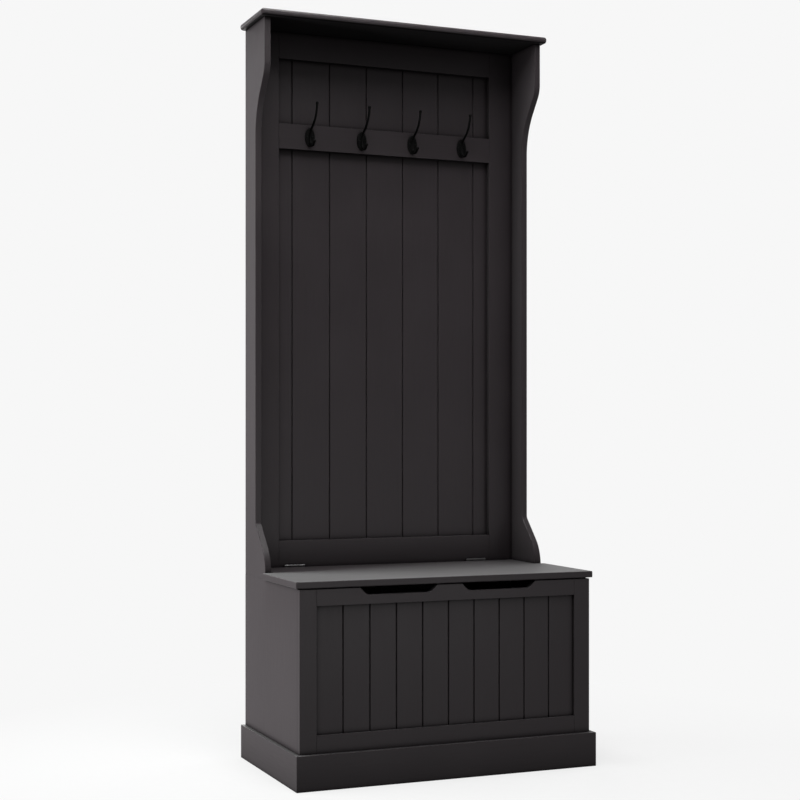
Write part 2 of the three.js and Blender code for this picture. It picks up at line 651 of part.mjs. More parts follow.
// One leaf with its share of the knuckles, in the frame of the hinge's pin. Short necks join the knuckles to
// the plate, which stays below the other leaf's knuckles.
function addLeaf(name, parent, frontY, knuckles, screwHoles) {
  const rearY = frontY + HINGE_LEAF_THICKNESS;
  const plateTop = -HINGE_AXIS_ABOVE_LID;
  const pitch = HINGE_LENGTH / HINGE_KNUCKLE_COUNT;
  const knuckleLength = pitch - HINGE_KNUCKLE_GAP;
  const plate = new THREE.BoxGeometry(HINGE_LENGTH, HINGE_LEAF_THICKNESS, HINGE_LEAF_HEIGHT);
  const leaf = addMesh(name, plate, hingeSteel(), parent);
  leaf.position.set(0, (frontY + rearY) / 2, plateTop - HINGE_LEAF_HEIGHT / 2);
  const join = knuckles.flatMap((index) => {
    const centre = (index + 0.5) * pitch - HINGE_LENGTH / 2;
    const low = [centre - knuckleLength / 2, frontY, plateTop - HINGE_NECK_OVERLAP];
    const high = [centre + knuckleLength / 2, Math.min(rearY, HINGE_NECK_REACH), 0];
    return [boxBetween(low, high), rodAlongX(HINGE_KNUCKLE_RADIUS, knuckleLength, centre)];
  });
  const bore = rodAlongX(HINGE_BORE_RADIUS, HINGE_LENGTH + 2 * TOOL_OVERRUN);
  shape(leaf, { join, cut: [bore, ...screwHoles] });
}

function addHinge({ name, sign }) {
  const hinge = new THREE.Group();
  hinge.position.set(sign * HINGE_SPREAD, HINGE_AXIS_Y, HINGE_AXIS_Z);
  group.add(hinge);
  const screwXs = pairAbout(0, HINGE_SCREW_SPREAD);
  const frameScrews = screwXs.map((x) => [x, FRAME_LEAF_Y, HINGE_SCREW_Z]);
  const lidScrews = screwXs.map((x) => [x, LID_LEAF_Y + HINGE_LEAF_THICKNESS, HINGE_SCREW_Z]);
  const frameHoles = frameScrews.map((place) => screwHole(HINGE_SCREW, place));
  const lidHoles = lidScrews.map((place) => backwards(screwHole(HINGE_SCREW, place)));
  addLeaf(`${name}_hinge_frame_leaf`, hinge, FRAME_LEAF_Y, FRAME_KNUCKLES, frameHoles);
  addLeaf(`${name}_hinge_lid_leaf`, hinge, LID_LEAF_Y, LID_KNUCKLES, lidHoles);
  addMesh(`${name}_hinge_pin`, rodAlongX(HINGE_PIN_RADIUS, HINGE_LENGTH).geometry, hingeSteel(), hinge);
  SIDES.forEach((side, end) => {
    const screwName = `${side.name}_screw`;
    addScrew(`${name}_hinge_frame_${screwName}`, HINGE_SCREW, frameScrews[end], hingeSteel(), hinge);
    backwards(addScrew(`${name}_hinge_lid_${screwName}`, HINGE_SCREW, lidScrews[end], hingeSteel(), hinge));
  });
}

addBench();
addLid();
SIDES.forEach(addUpright);
addTopBoard();
addBack();
centredRow(HOOK_COUNT, HOOK_PITCH).forEach(addHook);
SIDES.forEach(addHinge);

export default group;
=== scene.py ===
# Hall tree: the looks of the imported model, with its floor, lights and camera.
# Metres, in the model's own frame: X across the piece, Y from its front to the wall, Z up from the floor.

import math

import bmesh
import bpy
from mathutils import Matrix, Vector


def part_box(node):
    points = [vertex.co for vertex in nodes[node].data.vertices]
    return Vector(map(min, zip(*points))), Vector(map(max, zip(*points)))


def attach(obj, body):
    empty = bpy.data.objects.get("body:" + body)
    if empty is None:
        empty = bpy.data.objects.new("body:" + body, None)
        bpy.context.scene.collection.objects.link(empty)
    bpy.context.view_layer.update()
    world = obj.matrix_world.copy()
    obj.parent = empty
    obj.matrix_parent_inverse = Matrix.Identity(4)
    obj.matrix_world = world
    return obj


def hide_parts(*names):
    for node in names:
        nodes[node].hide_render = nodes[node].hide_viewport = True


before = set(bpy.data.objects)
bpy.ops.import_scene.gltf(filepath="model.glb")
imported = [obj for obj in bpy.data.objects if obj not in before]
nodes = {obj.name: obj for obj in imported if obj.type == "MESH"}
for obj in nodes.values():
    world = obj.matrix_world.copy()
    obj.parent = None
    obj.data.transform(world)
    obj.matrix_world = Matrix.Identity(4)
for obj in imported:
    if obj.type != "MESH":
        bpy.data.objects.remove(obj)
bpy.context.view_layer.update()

MM = 0.001
SIDES = ("left", "right")

# ---------------------------------------------------------------- sizes and levels

# Rounding of the boards' edges, and of hinges and dowels.
ARRIS = 0.8 * MM
MITRE_ARRIS = 0.7 * MM
UPRIGHT_ARRIS = 1.5 * MM
LID_ROUNDING = 2.2 * MM
TOP_ROUNDING = 7.0 * MM
SMALL_ARRIS = 0.25 * MM

# Edges shorter than HOLE_RIM stay sharp on the lid and the top board, and so does the top board's rear edge.
HOLE_RIM = 5.0 * MM
REAR_MARGIN = 1.0 * MM
BEHIND_ALL = 1.0

# An edge is sharp above one angle, and its faces are joined below the other.
SHARP_ANGLE = math.radians(35)
FLAT_ANGLE = math.radians(0.3)
SAME_POINT = 0.01 * MM

# Coat hooks. The rod's centre line runs from the upper tip to the lower one: distance in front of the rail,
# height from the plate's centre, in millimetres. The plate's profile holds inset and distance in front of the
# rail, in millimetres.
HOOK_COUNT = 4
HOOK_LINE = (
    (58, 80),
    (54, 63),
    (45, 46),
    (31, 32),
    (14, 21),
    (5, 11),
    (4, -2),
    (7, -16),
    (16, -24),
    (28, -24),
    (38, -15),
)
HOOK_PLATE_HALF_WIDTH = 13.5 * MM
HOOK_PLATE_HALF_HEIGHT = 25 * MM
HOOK_PLATE_PROFILE = ((0, 0), (0, 1.3), (0.25, 2.1), (0.9, 2.7), (2.0, 3.0), (6.0, 3.15))
HOOK_ROD_RADIUS = 3.1 * MM
HOOK_ROD_SWELL = 0.5 * MM
HOOK_NECK_RADIUS = HOOK_ROD_RADIUS - HOOK_ROD_SWELL / 2
HOOK_TIP_RADIUS = 4.2 * MM
HOOK_TIP_STEPS = 8
HOOK_TIP_GAP = 0.3 * MM
HOOK_VOXEL = 0.55 * MM
HOOK_RELAX_SHARE = 0.5
HOOK_RELAX_ROUNDS = 4
ROD_SIDES = 20
PLATE_SIDES = 40
STEPS_PER_SPAN = 6

# Screws. Shares are of the head's radius.
SCREW_SIDES = 24
SHANK_SHARE = 0.52
DOME_HEIGHT = 1.5 * MM
DOME_DEPTH = 1.8 * MM
DOME_STEPS = 7
FLAT_HEAD_SHARE = 0.97
FLAT_HEAD_ARRIS = 0.1 * MM
FLAT_HEAD_DEPTH = 1.2 * MM

# The cross recess. It turns by some facets of the head from one screw to the next. The last two are shares of
# its reach.
RECESS_SHARE = 0.62
RECESS_DEPTH = 1.1 * MM
RECESS_TURN_STEPS = 5
SLOT_HALF_WIDTH = 0.26
SLOT_TAPER = 0.45

# Camera, at the photograph's viewing angle.
CAMERA_PLACE = Vector((-1.6153, -3.7796, 0.8517))
CAMERA_HEADING = math.radians(22.56)
CAMERA_LENS = 72.07
CAMERA_SENSOR = 36.0
CAMERA_SHIFT_Y = 0.037

# Floor and surround. The floor is lit and glows near the piece, and only glows far from it.
PALE = 0.93
FLOOR_RADIUS = 14.0
FLOOR_DROP = 0.5 * MM
FLOOR_SIDES = 96
FLOOR_FADE = (0.55, 1.4)
FLOOR_SPECKS = 40.0
FLOOR_MATT = 0.18
FLOOR_MOTTLE = 0.01
FLOOR_GLOW = 0.73
FLOOR_BOUNCE = 0.08
FLOOR_REFLECTED = 0.22
AMBIENT = 0.05
REFLECTED = 0.3

# Softboxes: place, the point they face, width, height and watts. The key is low on the left, a low box lifts
# the bench's front and two overhead boxes pick out the lid. The last two only reach the right side and the
# back.
SOFTBOXES = {
    "left_softbox": ((-3.2, 0.8, 0.8), (0, 0, 0.5), 3.0, 1.4, 214),
    "low_front_softbox": ((0.2, -2.6, 0.3), (0, 0, 0.25), 2.4, 0.5, 10),
    "lid_softbox": ((-0.3, -0.3, 3.4), (0, -0.1, 0.5), 1.2, 0.6, 54),
    "front_softbox": ((-0.3, -1.2, 3.0), (0, -0.1, 0.5), 1.2, 0.8, 22),
    "right_softbox": ((3.6, 1.4, 1.6), (0, 0, 1.0), 2.4, 2.4, 75),
    "rear_softbox": ((0.6, 4.0, 1.8), (0, 0, 1.0), 2.6, 2.6, 60),
}
KEY = "left_softbox"
KEY_TINT = (0.965, 1.0, 0.985)


# ---------------------------------------------------------------- node tools

def feed(tree, socket, value):
    """Gives an input a value, or links an output socket to it."""
    if isinstance(value, bpy.types.NodeSocket):
        tree.links.new(value, socket)
    else:
        socket.default_value = value


def add_node(tree, kind, inputs=None, **settings):
    """Adds a node to a tree. Each input is a value, or an output socket to link to it."""
    node = tree.nodes.new(kind)
    for key, value in settings.items():
        setattr(node, key, value)
    for key, value in (inputs or {}).items():
        feed(tree, node.inputs[key], value)
    return node


class Recipe:
    """A material and short calls that add nodes to it."""

    # Noise mostly stays between the two values of NOISE. DOWNWARD is how far down a face's normal points
    # where the underside starts, and where it is complete.
    NOISE = (0.3, 0.7)
    EDGE_SAMPLES = 6
    EDGE_START = 0.01
    OPEN_SAMPLES = 8
    FULLY_OPEN = 0.93
    DOWNWARD = (-0.5, -0.8)

    def __init__(self, name):
        self.material = bpy.data.materials.new(name)
        self.material.use_nodes = True
        self.tree = self.material.node_tree
        self.tree.nodes.clear()

    def add(self, kind, inputs=None, **settings):
        """Adds a shader node."""
        return add_node(self.tree, "ShaderNode" + kind, inputs, **settings)

    def math(self, operation, first, second):
        return self.add("Math", {0: first, 1: second}, operation=operation).outputs[0]

    def remap(self, value, low, high, to_low=0.0, to_high=1.0):
        """Maps low..high to another range, with both ends held."""
        inputs = {"Value": value, "From Min": low, "From Max": high, "To Min": to_low, "To Max": to_high}
        return self.add("MapRange", inputs, clamp=True).outputs["Result"]

    def spread(self, noise, low=0.0, high=1.0):
        """Spreads a noise over a range."""
        return self.remap(noise, *self.NOISE, low, high)

    def blend(self, share, first, second):
        """A colour between two others."""
        node = self.add("Mix", data_type="RGBA")
        sockets = {socket.identifier: socket for socket in (*node.inputs, *node.outputs)}
        feed(self.tree, sockets["Factor_Float"], share)
        feed(self.tree, sockets["A_Color"], first)
        feed(self.tree, sockets["B_Color"], second)
        return sockets["Result_Color"]

    def position(self, stretch=(1, 1, 1)):
        """The object's own coordinates, in metres. A scale below 1 draws a pattern out along that axis."""
        place = self.add("TexCoord").outputs["Object"]
        return self.add("Mapping", {"Vector": place, "Scale": stretch}).outputs["Vector"]

    def noise(self, place, scale, detail=2.0, roughness=0.5):
        inputs = {"Vector": place, "Scale": scale, "Detail": detail, "Roughness": roughness}
        return self.add("TexNoise", inputs).outputs["Fac"]

    def edge_mask(self, radius, full):
        """Rises from 0 on flat surfaces to 1 on edges that a bevel of this radius would round."""
        rounded = self.add("Bevel", {"Radius": radius}, samples=self.EDGE_SAMPLES).outputs["Normal"]
        true_normal = self.add("NewGeometry").outputs["Normal"]
        inputs = {0: rounded, 1: true_normal}
        alike = self.add("VectorMath", inputs, operation="DOT_PRODUCT").outputs["Value"]
        return self.remap(self.math("SUBTRACT", 1.0, alike), self.EDGE_START, full)

    def painted_shade_factor(self, reach, closed, least):
        """A painted shade factor: falls from 1 on open surfaces to a least value deep in grooves, seams and
        inside corners, where shade falls.
        """
        unshaded = self.add("AmbientOcclusion", {"Distance": reach}, samples=self.OPEN_SAMPLES).outputs["AO"]
        return self.remap(unshaded, closed, self.FULLY_OPEN, least, 1.0)

    def underside(self):
        """1 on faces that look down when the object is upright."""
        normal = self.add("TexCoord").outputs["Normal"]
        return self.remap(self.add("SeparateXYZ", {0: normal}).outputs["Z"], *self.DOWNWARD)

    def bump(self, height, strength, distance, below=None):
        inputs = {"Height": height, "Strength": strength, "Distance": distance}
        if below is not None:
            inputs["Normal"] = below
        return self.add("Bump", inputs).outputs["Normal"]

    def finish(self, **inputs):
        """Closes the recipe with a principled shader."""
        sockets = {key.replace("_", " "): value for key, value in inputs.items()}
        shader = self.add("BsdfPrincipled", sockets)
        self.add("OutputMaterial", {"Surface": shader.outputs["BSDF"]})
        return self.material


def grey(value, warmth=0.0):
    """A near-neutral colour, in linear light. Warmth turns it a little towards red and away from green."""
    return (value * (1 + warmth), value * (1 - warmth / 3), value * (1 + warmth / 4), 1.0)


# ---------------------------------------------------------------- materials

# A pattern has a noise scale per metre, and a relief has a strength and a height. The groove and shelter
# shades are painted shade: each gives how far away a surface can shade another and how open a surface may be
# and still count as closed, and the shelter shade also gives the share of the paint's own colour that is left
# there. Any other pair is the two ends of a range.

# Charcoal paint. The brush strokes run along one axis.
STROKE_ALONG = {"x": (0.05, 1, 1), "y": (1, 0.05, 1), "z": (1, 1, 0.05)}
PAINT_CLOUDS = 4.0
PAINT_STROKES = 240.0
PAINT_STIPPLE = 1500.0
PAINT_EDGE_BREAKUP = 60.0
PAINT_TONES = (grey(0.022, 0.20), grey(0.031, 0.17))
PAINT_CLOUD_SHARE = 0.65
PAINT_STROKE_SHARE = 0.35
# Lightened edges: partly worn paint and partly a painted highlight.
PAINT_WORN_AND_HIGHLIT = grey(0.10, 0.08)
PAINT_EDGE = 1.2 * MM
PAINT_EDGE_FULL = 0.16
PAINT_EDGE_BREAKUP_RANGE = (0.42, 0.66)
PAINT_WEAR_AND_HIGHLIGHT = (0.25, 0.85)
# Painted shade: the colour that grooves, seams, inside corners and sheltered places are darkened towards.
PAINT_SHADED = grey(0.002, 0.2)
PAINT_GROOVE_SHADE = (14 * MM, 0.2)
PAINT_SHELTER_SHADE = (110 * MM, 0.35, 0.5)
# Painted shade on undersides: the share of the paint's colour left on faces that look down.
PAINT_UNDERSIDE_SHADE = 0.12
PAINT_ROUGHNESS = (0.40, 0.47)
PAINT_STROKE_ROUGHNESS = (-0.03, 0.04)
PAINT_STROKE_RELIEF = (0.22, 0.12 * MM)
PAINT_STIPPLE_RELIEF = (0.10, 0.05 * MM)
PAINT_SPECULAR = (0.03, 0.3)
PAINT_SHEEN = (0.0, 0.16)
PAINT_SHEEN_ROUGHNESS = 0.4


def charcoal_paint(name, along, shaded_underneath=False, groove_shade_least=0.0):
    """Satin charcoal paint, brushed along one axis, with a fine stipple, and edges lightened partly by worn
    paint and partly by a painted highlight. Painted shade darkens it in grooves, seams and inside corners,
    and can also darken its undersides."""
    recipe = Recipe(name)
    plain = recipe.position()
    brushed = recipe.position(STROKE_ALONG[along])
    cloud = recipe.noise(plain, PAINT_CLOUDS, detail=3.0)
    stroke = recipe.noise(brushed, PAINT_STROKES, detail=4.0, roughness=0.6)
    stipple = recipe.noise(plain, PAINT_STIPPLE)
    edge_breakup = recipe.noise(plain, PAINT_EDGE_BREAKUP, detail=5.0, roughness=0.65)

    cloud_tone = recipe.spread(cloud, 0.0, PAINT_CLOUD_SHARE)
    stroke_tone = recipe.spread(stroke, 0.0, PAINT_STROKE_SHARE)
    coat = recipe.blend(recipe.math("ADD", cloud_tone, stroke_tone), *PAINT_TONES)
    # Edges are lightened partly by worn paint and partly by a painted highlight, broken up by noise.
    edge = recipe.edge_mask(PAINT_EDGE, PAINT_EDGE_FULL)
    edge_lightening = recipe.math("MULTIPLY", edge, recipe.remap(edge_breakup, *PAINT_EDGE_BREAKUP_RANGE, *PAINT_WEAR_AND_HIGHLIGHT))
    clean = recipe.blend(edge_lightening, coat, PAINT_WORN_AND_HIGHLIT)

    # Painted shade darkens the colour and lowers specular and sheen in grooves, seams, inside corners and
    # sheltered places.
    groove_painted_light = recipe.painted_shade_factor(*PAINT_GROOVE_SHADE, groove_shade_least)
    painted_light_share = recipe.math("MULTIPLY", groove_painted_light, recipe.painted_shade_factor(*PAINT_SHELTER_SHADE))
    # Painted shade on undersides: faces that look down are darkened.
    if shaded_underneath:
        painted = recipe.remap(recipe.underside(), 0.0, 1.0, 1.0, PAINT_UNDERSIDE_SHADE)
        painted_light_share = recipe.math("MULTIPLY", painted_light_share, painted)

    stroke_gloss = recipe.spread(stroke, *PAINT_STROKE_ROUGHNESS)
    relief = recipe.bump(stroke, *PAINT_STROKE_RELIEF)
    return recipe.finish(
        Base_Color=recipe.blend(painted_light_share, PAINT_SHADED, clean),
        Roughness=recipe.math("ADD", stroke_gloss, recipe.spread(cloud, *PAINT_ROUGHNESS)),
        Normal=recipe.bump(stipple, *PAINT_STIPPLE_RELIEF, relief),
        Specular_IOR_Level=recipe.remap(painted_light_share, 0.0, 1.0, *PAINT_SPECULAR),
        Sheen_Weight=recipe.remap(painted_light_share, 0.0, 1.0, *PAINT_SHEEN),
        Sheen_Roughness=PAINT_SHEEN_ROUGHNESS)


# Black iron.
IRON_CLOUDS = 90.0
IRON_GRAIN = 1300.0
IRON_TONES = (grey(0.0014), grey(0.003))
IRON_WORN = grey(0.010, 0.03)
IRON_EDGE = 0.6 * MM
IRON_EDGE_FULL = 0.25
IRON_RUBBED = (0.4, 0.7)
IRON_WEAR = (0.1, 0.8)
IRON_ROUGHNESS = (0.38, 0.52)
IRON_RELIEF = (0.35, 0.08 * MM)
IRON_SPECULAR = 0.09


def black_iron():
    """Black powder-coated iron with a fine grainy skin, rubbed slightly brighter on its edges."""
    recipe = Recipe("black_iron")
    plain = recipe.position()
    cloud = recipe.noise(plain, IRON_CLOUDS, detail=3.0)
    grain = recipe.noise(plain, IRON_GRAIN, detail=3.0, roughness=0.6)
    edge = recipe.edge_mask(IRON_EDGE, IRON_EDGE_FULL)
    edge_lightening = recipe.math("MULTIPLY", edge, recipe.remap(cloud, *IRON_RUBBED, *IRON_WEAR))
    coat = recipe.blend(recipe.spread(cloud), *IRON_TONES)
    return recipe.finish(
        Base_Color=recipe.blend(edge_lightening, coat, IRON_WORN),
        Roughness=recipe.spread(grain, *IRON_ROUGHNESS),
        Normal=recipe.bump(grain, *IRON_RELIEF),
        Specular_IOR_Level=IRON_SPECULAR)


# Hinge steel.
STEEL_BRUSHED = (0.03, 1, 1)
STEEL_CLOUDS = 120.0
STEEL_STROKES = 2600.0
STEEL_TONES = (grey(0.10, 0.01), grey(0.16, 0.02))
STEEL_ROUGHNESS = (0.34, 0.5)
STEEL_RELIEF = (0.25, 0.04 * MM)


def hinge_steel():
    """Dull zinc-plated steel, brushed along the hinge."""
    recipe = Recipe("hinge_steel")
    cloud = recipe.noise(recipe.position(), STEEL_CLOUDS, detail=3.0)
    stroke = recipe.noise(recipe.position(STEEL_BRUSHED), STEEL_STROKES, detail=3.0)
    return recipe.finish(
        Base_Color=recipe.blend(recipe.spread(cloud), *STEEL_TONES),
        Roughness=recipe.spread(stroke, *STEEL_ROUGHNESS),
        Normal=recipe.bump(stroke, *STEEL_RELIEF),
        Metallic=1.0)


# Beech.
BEECH_ALONG = (1, 1, 0.1)
BEECH_FIBRES = 900.0
BEECH_FLECKS = 2400.0
BEECH_TONES = ((0.50, 0.31, 0.17, 1), (0.62, 0.42, 0.25, 1))
BEECH_FLECK = (0.30, 0.16, 0.08, 1)
BEECH_FLECKED = (0.62, 0.7)
BEECH_FLECK_SHARE = (0.0, 0.5)
BEECH_ROUGHNESS = (0.6, 0.78)
BEECH_RELIEF = (0.3, 0.08 * MM)


def bare_beech():
    """Pale beech with short darker flecks along the dowel."""
    recipe = Recipe("bare_beech")
    along = recipe.position(BEECH_ALONG)
    fibre = recipe.noise(along, BEECH_FIBRES, detail=4.0)
    fleck = recipe.noise(along, BEECH_FLECKS, detail=1.0)
    wood = recipe.blend(recipe.spread(fibre), *BEECH_TONES)
    flecked = recipe.remap(fleck, *BEECH_FLECKED, *BEECH_FLECK_SHARE)
    return recipe.finish(
        Base_Color=recipe.blend(flecked, wood, BEECH_FLECK),
        Roughness=recipe.spread(fibre, *BEECH_ROUGHNESS),
        Normal=recipe.bump(fibre, *BEECH_RELIEF))


# The back panel's grooves are shallow, so the painted shade in them stays lighter than in seams.
SHALLOW_GROOVE_SHADE_LEAST = 0.4

paint = {axis: charcoal_paint("charcoal_paint_along_" + axis, axis) for axis in STROKE_ALONG}
# Paint with painted shade on its undersides.
underside_shaded_paint = charcoal_paint("charcoal_paint_with_painted_underside_shade", "x", shaded_underneath=True)
light_groove_shade_paint = charcoal_paint("charcoal_paint_in_shallow_grooves", "z", groove_shade_least=SHALLOW_GROOVE_SHADE_LEAST)
iron = black_iron()
steel = hinge_steel()
beech = bare_beech()


# ---------------------------------------------------------------- carried-over boards and hinges

def geometry_group(name):
    """An empty geometry-nodes group with one geometry in and one out."""
    group = bpy.data.node_groups.new(name, "GeometryNodeTree")
    for direction in ("INPUT", "OUTPUT"):
        group.interface.new_socket("Geometry", in_out=direction, socket_type="NodeSocketGeometry")
    return group


def merging_group():
    """Joins the split corners of an imported mesh and drops its stored normals."""
    group = geometry_group("merge_corners")
    start = add_node(group, "NodeGroupInput")
    inputs = {"Geometry": start.outputs[0], "Distance": SAME_POINT}
    merge = add_node(group, "GeometryNodeMergeByDistance", inputs)
    inputs = {"Geometry": merge.outputs["Geometry"], "Name": "custom_normal"}
    drop = add_node(group, "GeometryNodeRemoveAttribute", inputs)
    add_node(group, "NodeGroupOutput", {0: drop.outputs["Geometry"]})
    return group


def compare(group, operation, first, second):
    """Whether the first value is above or below the second."""
    inputs = {"A": first, "B": second}
    return add_node(group, "FunctionNodeCompare", inputs, operation=operation).outputs["Result"]


def both(group, first, second):
    return add_node(group, "FunctionNodeBooleanMath", {0: first, 1: second}).outputs["Boolean"]


def edge_length(group):
    ends = add_node(group, "GeometryNodeInputMeshEdgeVertices").outputs
    inputs = {0: ends["Position 1"], 1: ends["Position 2"]}
    return add_node(group, "ShaderNodeVectorMath", inputs, operation="DISTANCE").outputs["Value"]


def edge_marking_group():
    """Shades a mesh smooth between its sharp edges, and marks for rounding the sharp edges that are longer
    than its Shortest input and in front of its Rearmost one. Returns the group and those inputs'
    identifiers."""
    group = geometry_group("mark_edges")
    shortest = group.interface.new_socket("Shortest", in_out="INPUT", socket_type="NodeSocketFloat")
    rearmost = group.interface.new_socket("Rearmost", in_out="INPUT", socket_type="NodeSocketFloat")
    geometry, shortest_value, rearmost_value = add_node(group, "NodeGroupInput").outputs[:3]

    angle = add_node(group, "GeometryNodeInputMeshEdgeAngle").outputs["Unsigned Angle"]
    sharp = compare(group, "GREATER_THAN", angle, SHARP_ANGLE)
    smooth = add_node(group, "GeometryNodeSetShadeSmooth", {"Geometry": geometry}, domain="FACE")
    inputs = {"Geometry": smooth.outputs["Geometry"], "Selection": sharp, "Shade Smooth": False}
    crease = add_node(group, "GeometryNodeSetShadeSmooth", inputs, domain="EDGE")

    long_enough = compare(group, "GREATER_THAN", edge_length(group), shortest_value)
    middle = add_node(group, "GeometryNodeInputPosition").outputs[0]
    depth = add_node(group, "ShaderNodeSeparateXYZ", {0: middle}).outputs["Y"]
    forward = compare(group, "LESS_THAN", depth, rearmost_value)
    inputs = {
        "Geometry": crease.outputs["Geometry"],
        "Name": "bevel_weight_edge",
        "Value": both(group, sharp, both(group, long_enough, forward)),
    }
    store = add_node(group, "GeometryNodeStoreNamedAttribute", data_type="FLOAT", domain="EDGE")
    for key, value in inputs.items():
        feed(group, store.inputs[key], value)
    add_node(group, "NodeGroupOutput", {0: store.outputs["Geometry"]})
    return group, shortest.identifier, rearmost.identifier


merge_corners = merging_group()
mark_edges, shortest_input, rearmost_input = edge_marking_group()


def soften(name, material, width, segments=2, shortest=0.0, rearmost=BEHIND_ALL):
    """Gives a carried-over node its material and rounds its sharp edges, apart from those shorter than the
    shortest or behind the rearmost."""
    node = nodes[name]
    node.material_slots[0].material = material
    merge = node.modifiers.new("merge_corners", "NODES")
    merge.node_group = merge_corners
    flatten = node.modifiers.new("join_flat_faces", "DECIMATE")
    flatten.decimate_type = "DISSOLVE"
    flatten.angle_limit = FLAT_ANGLE
    mark = node.modifiers.new("mark_edges", "NODES")
    mark.node_group = mark_edges
    mark[shortest_input] = shortest
    mark[rearmost_input] = rearmost
    rounding = node.modifiers.new("round_edges", "BEVEL")
    rounding.width = width
    rounding.segments = segments
    rounding.limit_method = "WEIGHT"
    rounding.use_clamp_overlap = False
    rounding.harden_normals = True


BOARDS = {
    "x": (
        "back_bottom_rail", "front_top_rail", "front_bottom_rail", "bench_bottom_panel",
        "front_bottom_cleat", "back_bottom_cleat",
    ),
    "y": ("left_bottom_cleat", "right_bottom_cleat"),
    "z": (
        "back_left_stile", "back_right_stile", "front_left_stile", "front_right_stile",
        "front_grooved_panel", "bench_left_side", "bench_right_side", "bench_back_panel",
    ),
}


def finish_boards():
    for axis, names in BOARDS.items():
        for name in names:
            soften(name, paint[axis], ARRIS)
    # These boards get painted shade on their undersides.
    for name in ("back_top_rail", "hook_rail"):
        soften(name, underside_shaded_paint, ARRIS)
    rear_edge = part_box("top_board")[1].y - REAR_MARGIN
    soften("top_board", underside_shaded_paint, TOP_ROUNDING, segments=5, shortest=HOLE_RIM, rearmost=rear_edge)
    soften("back_grooved_panel", light_groove_shade_paint, ARRIS)
    soften("bench_lid", paint["x"], LID_ROUNDING, segments=3, shortest=HOLE_RIM)
    soften("front_plinth", paint["x"], MITRE_ARRIS)
    for side in SIDES:
        soften(side + "_upright", paint["z"], UPRIGHT_ARRIS, segments=3)
        soften(side + "_plinth", paint["y"], MITRE_ARRIS)


def finish_hinges():
    for side in SIDES:
        for part in ("frame_leaf", "lid_leaf", "pin"):
            soften(f"{side}_hinge_{part}", steel, SMALL_ARRIS)


def finish_dowels():
    for name in nodes:
        if name.endswith("_dowel"):
            soften(name, beech, SMALL_ARRIS)


# ---------------------------------------------------------------- mesh tools

def piece_from(mesh, name, material, body, slot, *replaced):
    """Finishes a bmesh as a named piece that rides on a body, and hides the CAD nodes that it replaces."""
    bmesh.ops.recalc_face_normals(mesh, faces=mesh.faces)
    data = bpy.data.meshes.new(name)
    mesh.to_mesh(data)
    mesh.free()
    data.materials.append(material)
    data.shade_smooth()
    piece = bpy.data.objects.new(name, data)
    bpy.context.scene.collection.objects.link(piece)
    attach(piece, body)
    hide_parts(*replaced)
    return piece


def bake_modifiers(piece):
    """Replaces a piece's mesh by the result of its modifiers, shaded smooth between sharp edges."""
    graph = bpy.context.evaluated_depsgraph_get()
    made = bpy.data.meshes.new_from_object(piece.evaluated_get(graph), depsgraph=graph)
    piece.modifiers.clear()
    piece.data = made
    made.shade_smooth()
    made.set_sharp_from_angle(angle=SHARP_ANGLE)


def catmull_rom(points, steps):
    """Points along a smooth line through the given ones."""
    ends = [2 * points[0] - points[1], *points, 2 * points[-1] - points[-2]]
    line = []
    for before, start, end, after in zip(ends, ends[1:], ends[2:], ends[3:]):
        for step in range(steps):
            t = step / steps
            line.append(0.5 * (
                2 * start
                + (end - before) * t
                + (2 * before - 5 * start + 4 * end - after) * t * t
                + (3 * start - before - 3 * end + after) * t * t * t))
    return [*line, points[-1].copy()]


def round_turns(sides):
    """Evenly spaced angles round a circle."""
    return [math.tau * side / sides for side in range(sides)]


def circle(centre, across, up, radius, sides):
    """Points round a circle, or only its centre where the circle has shrunk to it."""
    if radius < SAME_POINT:
        return [centre]
    return [centre + radius * (math.cos(turn) * across + math.sin(turn) * up) for turn in round_turns(sides)]


def add_rings(mesh, rings):
    """Joins closed rings of points into a skin. A ring of one point closes that end."""
    made = [[mesh.verts.new(point) for point in ring] for ring in rings]
    for lower, upper in zip(made, made[1:]):
        count = max(len(lower), len(upper))
        for index in range(count):
            following = (index + 1) % count
            corners = [
                lower[index % len(lower)],
                lower[following % len(lower)],
                upper[following % len(upper)],
                upper[index % len(upper)],
            ]
            mesh.faces.new(dict.fromkeys(corners))


# ---------------------------------------------------------------- coat hooks

def rod_stations(line, tangents):
    """Place, direction and radius along the rod, which swells towards its middle."""
    middle = (len(line) - 1) / 2
    stations = []
    for index, (point, tangent) in enumerate(zip(line, tangents)):
        swell = HOOK_ROD_SWELL * (1 - abs(index - middle) / middle)
        stations.append((point, tangent, HOOK_NECK_RADIUS + swell))
    return stations


def tip_stations(tip, tangent, way, neck_turn):
    """The same for the knob at a tip, from its widest part outwards. Way is -1 at the rod's start, and 1 at
    its end."""
    step_turn = (math.pi / 2 - neck_turn) / HOOK_TIP_STEPS
    turns = [neck_turn + step_turn * step for step in range(-HOOK_TIP_STEPS, HOOK_TIP_STEPS + 1)]
    return [
        (tip + tangent * way * HOOK_TIP_RADIUS * math.sin(turn), tangent, HOOK_TIP_RADIUS * math.cos(turn))
        for turn in turns
    ]


